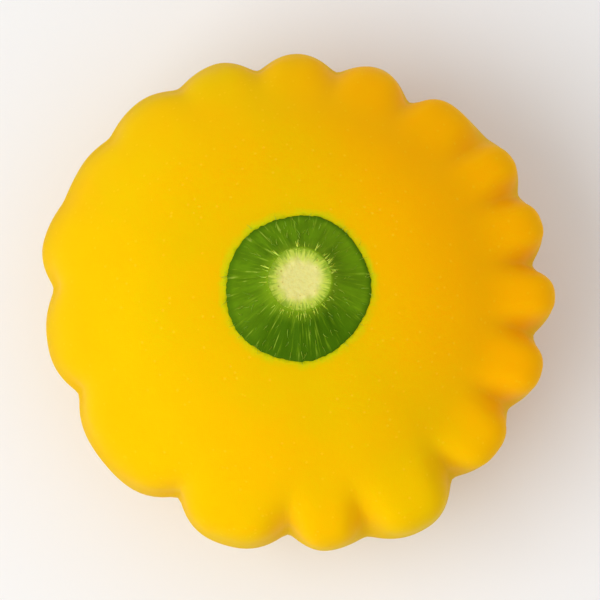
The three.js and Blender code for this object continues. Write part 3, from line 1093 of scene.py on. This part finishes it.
def pith_paint():
    material, paint, shader = new_paint("pith_cream", PITH_SHADER)
    place = paint.add("ShaderNodeTexCoord", output="Object")
    way = attribute(paint, "way", "Vector")
    out = paint.z_of(way)
    cells = paint.ramp(noise(paint, place, CELL_SIZE, detail=4.0), *CELL_FADE)
    colour = mix(paint, cells, PITH_CREAM, PITH_WARM)
    drift = wander(paint, noise(paint, place, WANDER_SIZE, detail=3.0), GREEN_RING_WANDER)
    ring = paint.ramp(paint.math("ADD", out, drift), *GREEN_RING_FADE)
    colour = mix(paint, ring, colour, PITH_GREEN)
    fibres = drawn_out(paint, way, FIBRE_COUNTS)
    pale = paint.math("MULTIPLY", ring, paint.ramp(fibres, *FIBRE_FADE))
    colour = mix(paint, pale, colour, PITH_CREAM)
    frayed = paint.math("ADD", out, wander(paint, fibres, FRAYED_WANDER))
    colour = mix(paint, paint.ramp(frayed, *FRAYED_FADE), colour, PITH_EDGE)
    specks = paint.ramp(dots(paint, place, SPECK_SPACING), *SPECK_FADE)
    specks = paint.math("MULTIPLY", specks, paint.bell(out, *SPECK_PLACE))
    colour = mix(paint, paint.math("MULTIPLY", specks, SPECK_TINT), colour, PITH_BROWN)
    wire(paint, shader, colour, noise(paint, place, PITH_GRAIN, detail=4.0), PITH_BUMP)
    return material


# %% The face of the cut
face_mesh = grow(plain_face, face_tree, FACE_SIZES, pith_paint(), ["way"])
finished_piece("cut_face", under_the_top(shifted_to_axis(face_mesh)), "stem")
bpy.data.objects.remove(plain_face)

# %% [markdown]
# ## Fibres and hairs
#
# Two things stand out of the stalk that are far too fine for a solid. Round the rim of the cut, torn fibres
# hang over the edge, most of them on one side. And the whole skirt carries short, pale, stiff hairs, as the
# leaves and stalks of this plant do. Both are one small bent spike, put on many points, turned and sized at
# random with a fixed seed. This is what Geometry Nodes do best, and a spike needs only a few faces.

# %% A bent spike, and random numbers
SPIKE_SIDES = 3
SPIKE_STEPS = 5
SPIKE_TIP = 0.1  # the radius of its tip, as a share of its width at the foot
SPIKE_SIZES = (0.55, 1.35)  # how small and how large a planted one may be
# A seed of its own for each thing that is left to chance
TWIST_SEED = 21
SIZE_SEED = 22
KEPT_SEED = 23
FIBRE_AIM_SEED = 24
HAIR_AIM_SEED = 25


def chance(rule, low, high, seed):
    """A random number for each point, the same on every run."""
    return rule.add("FunctionNodeRandomValue", {2: low, 3: high, "Seed": seed}, output=1, data_type="FLOAT")


def chance_vector(rule, reach, seed):
    """A random vector for each point, with each part between -reach and reach."""
    ends = {0: (-reach, -reach, -reach), 1: (reach, reach, reach), "Seed": seed}
    return rule.add("FunctionNodeRandomValue", ends, data_type="FLOAT_VECTOR")


def bent_spike(rule, given):
    """A thin three-sided spike along Z, bent towards X, with its foot at the origin."""
    sizes = {"Vertices": SPIKE_SIDES, "Side Segments": SPIKE_STEPS, "Depth": given["Length"],
             "Radius Top": rule.math("MULTIPLY", given["Width"], SPIKE_TIP),
             "Radius Bottom": rule.math("MULTIPLY", given["Width"], 0.5)}
    spike = rule.add("GeometryNodeMeshCone", sizes)
    up = rule.math("DIVIDE", rule.z_of(rule.add("GeometryNodeInputPosition")), given["Length"])
    lean = rule.math("MULTIPLY", rule.math("MULTIPLY", up, up), given["Bend"])
    bent = rule.add("ShaderNodeCombineXYZ", {"X": lean})
    return rule.add("GeometryNodeSetPosition", {"Geometry": spike, "Offset": bent})


def planted(rule, given, points, towards, selection=True):
    """Puts a spike on every selected point, along a direction, twisted and sized at random."""
    twist = {"Axis": (0, 0, 1), "Angle": chance(rule, 0.0, 2 * math.pi, TWIST_SEED)}
    twisted = rule.add("FunctionNodeAxisAngleToRotation", twist)
    aimed = rule.add("FunctionNodeAlignRotationToVector", {"Rotation": twisted, "Vector": towards}, axis="Z")
    inputs = {"Points": points, "Selection": selection, "Instance": bent_spike(rule, given),
              "Rotation": aimed, "Scale": chance(rule, *SPIKE_SIZES, SIZE_SEED)}
    return rule.add("GeometryNodeInstanceOnPoints", inputs)


print("a spike has", SPIKE_SIDES, "sides and", SPIKE_STEPS, "steps")

# %% Torn fibres round the cut
FIBRE_SIZES = {
    "Count": 240,
    "Rim": 3.05 * MM,
    "Length": 0.85 * MM,
    "Width": 0.13 * MM,
    "Bend": 0.1 * MM,
    "Seed": 5,
}
FIBRE_SCATTER = 0.28 * MM
FLATTENED = (1, 1, 0.25)  # the scatter is mostly sideways
TORN_SIDE = 318  # degrees
KEPT_FADE = (-0.8, 0.9, 0.2, 0.85)  # the share of fibres kept, from the clean side to the torn one
FIBRE_UNEVENNESS = 0.3
FIBRE_DROOP = (0, 0, -0.55)
FIBRE_SUNK = 0.1 * MM  # how far below the top of the cut they start


def fibre_rule():
    """Fibres on a ring, fewer on the clean side, that point outwards and hang down."""
    rule, given, end = new_rule("Torn fibres", FIBRE_SIZES)
    round_cut = {"Vertices": given["Count"], "Radius": given["Rim"]}
    ring = rule.add("GeometryNodeMeshCircle", round_cut, fill_type="NONE")
    outwards = rule.vector("NORMALIZE", rule.add("GeometryNodeInputPosition"))
    scatter = rule.vector("MULTIPLY", chance_vector(rule, FIBRE_SCATTER, given["Seed"]), FLATTENED)
    scattered = rule.add("GeometryNodeSetPosition", {"Geometry": ring, "Offset": scatter})
    share = rule.ramp(rule.dot(outwards, direction(TORN_SIDE)), *KEPT_FADE)
    kept = rule.math("LESS_THAN", chance(rule, 0.0, 1.0, KEPT_SEED), share)
    towards = rule.vector("ADD", outwards, chance_vector(rule, FIBRE_UNEVENNESS, FIBRE_AIM_SEED))
    towards = rule.vector("ADD", towards, FIBRE_DROOP)
    fibres = planted(rule, given, scattered, towards, kept)
    end_rule(rule, fibres, given["Material"], end)
    return rule.tree


fibre_tree = fibre_rule()
print("the fibres' tree has", len(fibre_tree.nodes), "nodes")

# %% Hairs all over the skirt
HAIR_SIZES = {
    "Hairs per square millimetre": 0.9,
    "Length": 0.65 * MM,
    "Width": 0.06 * MM,
    "Bend": 0.25 * MM,
    "Seed": 11,
}
SLOPE_FADE = (0.2, 0.5)  # by how much the skirt faces up: there are no hairs where it is steep
BARE_FADE = (0.03, 0.25)  # by the way out: there are none right beside the cut
HAIR_RISE = 0.55  # how much they stand up, beside how far they lean outwards
HAIR_UNEVENNESS = 0.5


def hair_rule():
    """Hairs scattered over the skirt, that lean outwards and stand up a little."""
    rule, given, end = new_rule("Hairs of the stalk", HAIR_SIZES)
    way = read(rule, "way", "FLOAT_VECTOR")
    facing_up = rule.z_of(rule.add("GeometryNodeInputNormal"))
    density = rule.math("MULTIPLY", given["Hairs per square millimetre"], 1 / MM**2)
    density = rule.math("MULTIPLY", density, rule.ramp(facing_up, *SLOPE_FADE))
    density = rule.math("MULTIPLY", density, rule.ramp(rule.z_of(way), *BARE_FADE))
    inputs = {"Mesh": given["Geometry"], "Density": density, "Seed": given["Seed"]}
    roots = rule.add("GeometryNodeDistributePointsOnFaces", inputs, output="Points")
    outwards = rule.vector("NORMALIZE", rule.vector("MULTIPLY", way, FLAT))
    towards = rule.vector("ADD", rule.scale(roots.node.outputs["Normal"], HAIR_RISE), outwards)
    towards = rule.vector("ADD", towards, chance_vector(rule, HAIR_UNEVENNESS, HAIR_AIM_SEED))
    hairs = planted(rule, given, roots, towards)
    end_rule(rule, hairs, given["Material"], end)
    return rule.tree


hair_tree = hair_rule()
print("the hairs' tree has", len(hair_tree.nodes), "nodes")

# %% Pale paints for both
FIBRE_PALE = (0.68, 0.82, 0.10, 1)
FIBRE_GREEN = (0.38, 0.55, 0.02, 1)
HAIR_PALE = (0.36, 0.52, 0.06, 1)
HAIR_GREEN = (0.17, 0.33, 0.02, 1)
SPIKE_SHADER = {
    "Roughness": 0.6,
    "Specular IOR Level": 0.1,
    "Specular Tint": STALK_SHEEN,
    "Subsurface Weight": 0.3,
    "Subsurface Scale": 0.2 * MM,
}
SPIKE_PATCH_SIZE = 0.7 * MM
SPIKE_PATCH_FADE = (0.35, 0.65)


def fine_paint(name, light, dark):
    """A pale paint for spikes, a little uneven from one to the next."""
    material, paint, shader = new_paint(name, SPIKE_SHADER)
    place = paint.add("ShaderNodeTexCoord", output="Object")
    patches = paint.ramp(noise(paint, place, SPIKE_PATCH_SIZE), *SPIKE_PATCH_FADE)
    paint.tree.links.new(mix(paint, patches, light, dark), shader["Base Color"])
    return material


# %% The fibres and the hairs
nothing = bpy.data.objects.new("nothing", bpy.data.meshes.new("nothing"))
bpy.context.scene.collection.objects.link(nothing)
fibre_mesh = grow(nothing, fibre_tree, FIBRE_SIZES, fine_paint("torn_fibre", FIBRE_PALE, FIBRE_GREEN))
put_points(fibre_mesh, points_of(fibre_mesh) + (*CUT_OFFSET, CUT_TOP - FIBRE_SUNK))
finished_piece("cut_fibres", under_the_top(shifted_to_axis(fibre_mesh)), "stem")
bpy.data.objects.remove(nothing)

hair_mesh = grow(skirt, hair_tree, HAIR_SIZES, fine_paint("stalk_hair", HAIR_PALE, HAIR_GREEN))
finished_piece("stem_hairs", under_the_top(hair_mesh), "stem")
